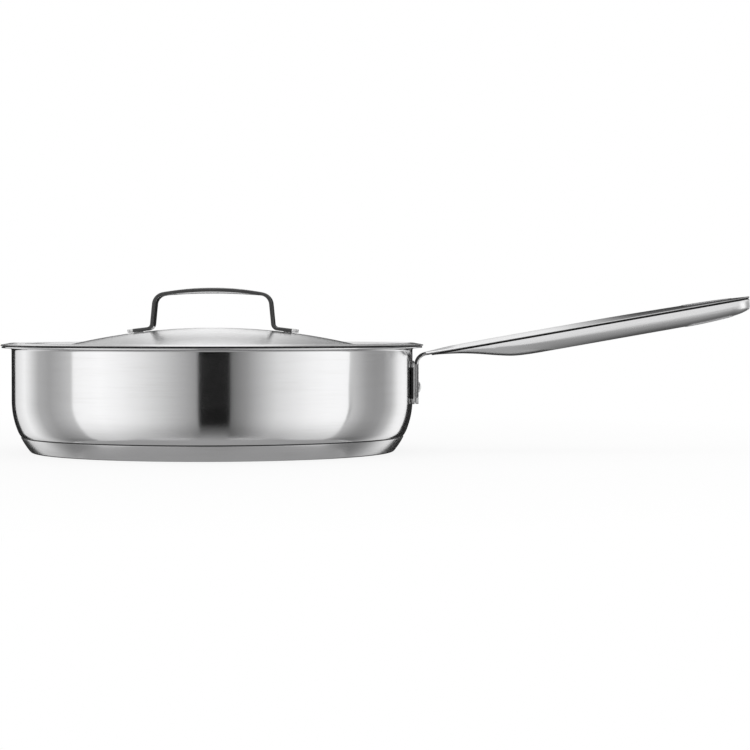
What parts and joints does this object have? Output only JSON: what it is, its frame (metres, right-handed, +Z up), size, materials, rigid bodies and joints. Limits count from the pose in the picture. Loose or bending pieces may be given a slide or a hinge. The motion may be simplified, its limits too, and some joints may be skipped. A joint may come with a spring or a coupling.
{
  "type": "saute pan with lid",
  "caption": "Low, straight-walled stainless steel frying vessel with a flared lip, capsule base, long hollow handle and a domed lift-off lid with a strap handle.",
  "frame": {"origin": "centre of the base's flat underside, on the pan's axis", "axes": "+Z up, +X along the long handle"},
  "size_m": [0.4916, 0.276, 0.1074],
  "materials": {
    "body_steel": "satin, brushed round the wall",
    "core_aluminium": "plain rolled",
    "base_steel": "satin, turned rings underneath",
    "bracket_steel": "satin",
    "handle_steel": "satin, brushed along the grip",
    "rivet_steel": "polished",
    "lid_steel": "satin, brushed in rings",
    "strap_steel": "semi-polished, brushed along the strap"
  },
  "bodies": {
    "pan": {"pan_body": "body_steel", "base_core": "core_aluminium", "base_capsule": "base_steel", "handle_bracket": "bracket_steel", "bracket_welds": "bracket_steel", "handle_upper_shell": "handle_steel", "handle_lower_shell": "handle_steel", "hanging_sleeve": "handle_steel", "handle_rivets": "rivet_steel"},
    "lid": {"lid_shell": "lid_steel", "lid_handle": "strap_steel", "lid_handle_welds": "strap_steel"}
  },
  "joints": [
    {"name": "lid_lift", "type": "slide", "parent": "pan", "child": "lid", "axis": [0, 0, 1], "range_m": [0, 0.12]}
  ]
}
